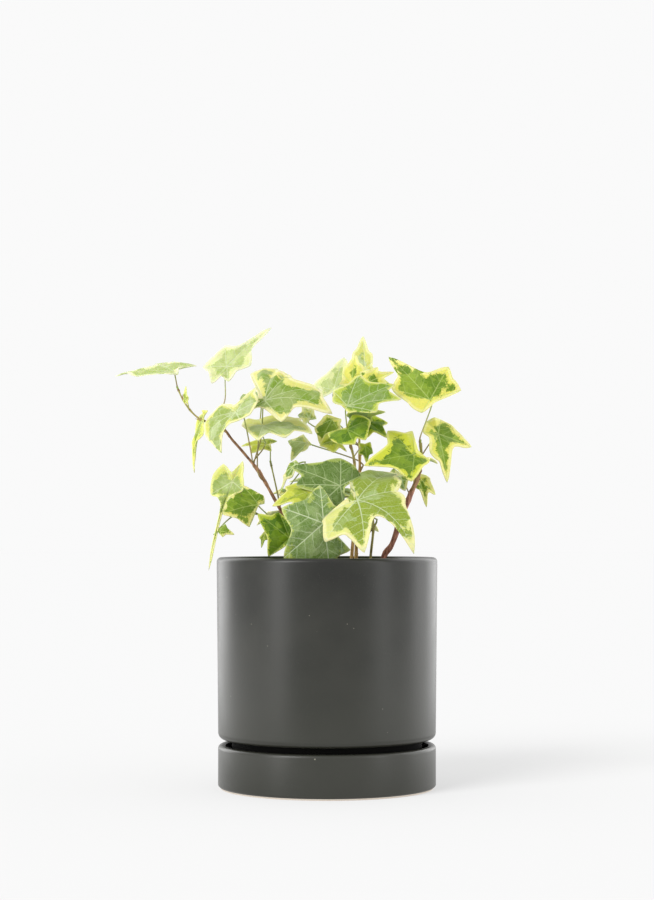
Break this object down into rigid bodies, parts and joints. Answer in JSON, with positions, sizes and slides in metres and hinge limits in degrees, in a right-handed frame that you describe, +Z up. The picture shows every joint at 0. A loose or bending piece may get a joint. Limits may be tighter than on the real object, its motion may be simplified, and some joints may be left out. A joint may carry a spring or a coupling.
{
  "type": "potted variegated ivy",
  "caption": "Variegated ivy with lobed, cream-edged leaves on thin branching stems, in a matte charcoal cylinder pot on a saucer of the same width.",
  "frame": {"origin": "centre of the saucer's flat underside, on the pot's axis", "axes": "+Z up along the pot's axis, -Y towards the side that most leaves face, +X to the right as seen from that side"},
  "size_m": [0.1988, 0.1462, 0.2562],
  "materials": {
    "charcoal_glaze": "matte",
    "soil": "matte",
    "ivy": "satin"
  },
  "bodies": {
    "root": {"pot": "charcoal_glaze", "saucer": "charcoal_glaze", "soil": "soil", "stem_left_long": "ivy", "stem_left_inner": "ivy", "stem_centre_front": "ivy", "stem_centre_back": "ivy", "stem_right": "ivy", "stem_front": "ivy", "stem_left_low": "ivy", "stem_back": "ivy"}
  },
  "joints": []
}
